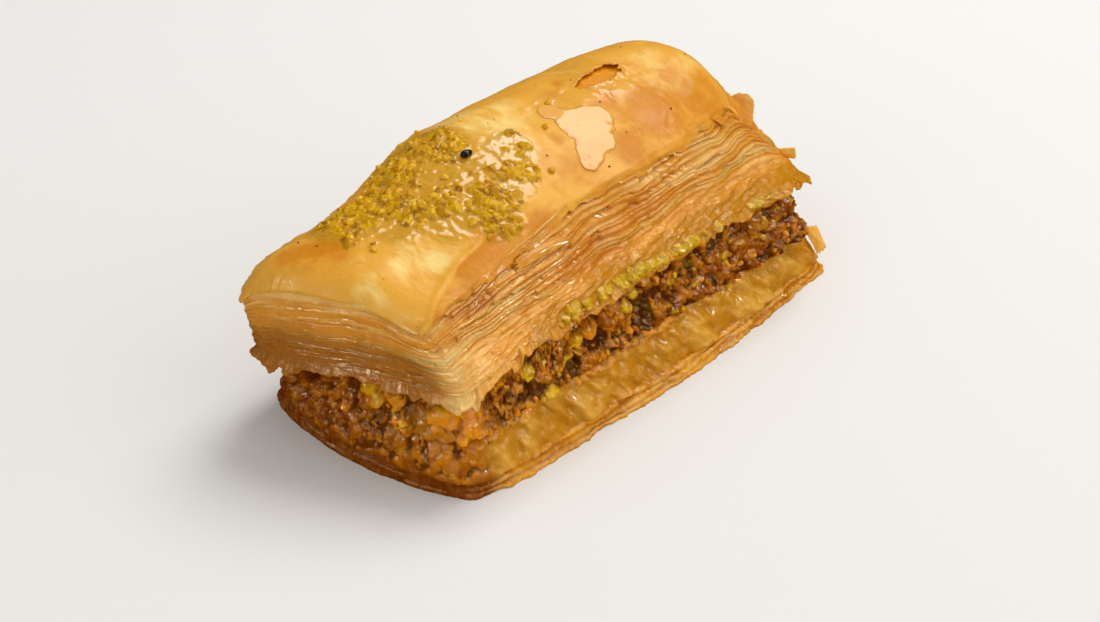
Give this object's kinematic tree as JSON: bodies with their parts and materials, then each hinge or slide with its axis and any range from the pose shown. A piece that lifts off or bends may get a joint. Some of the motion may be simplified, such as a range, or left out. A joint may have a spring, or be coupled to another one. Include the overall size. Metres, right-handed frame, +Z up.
{
  "type": "baklava piece",
  "caption": "Cut piece of layered nut pastry: a puffed stack of thin leaves over chopped nuts in syrup, on a soaked pastry base.",
  "frame": {"origin": "middle of the piece's outline, on the face it rests on", "axes": "+X along the piece's length, +Y across it, away from the long side whose leaves fan out, +Z up"},
  "size_m": [0.0786, 0.0398, 0.0315],
  "materials": {
    "bottom_pastry": "syrup-soaked pastry, wet and slightly translucent",
    "nut_filling": "chopped nuts in dark syrup, lumpy and wet",
    "top_pastry": "crisp golden pastry leaves with a thin glaze"
  },
  "bodies": {
    "root": {"bottom_pastry": "bottom_pastry", "nut_filling": "nut_filling", "top_pastry": "top_pastry"}
  },
  "joints": []
}
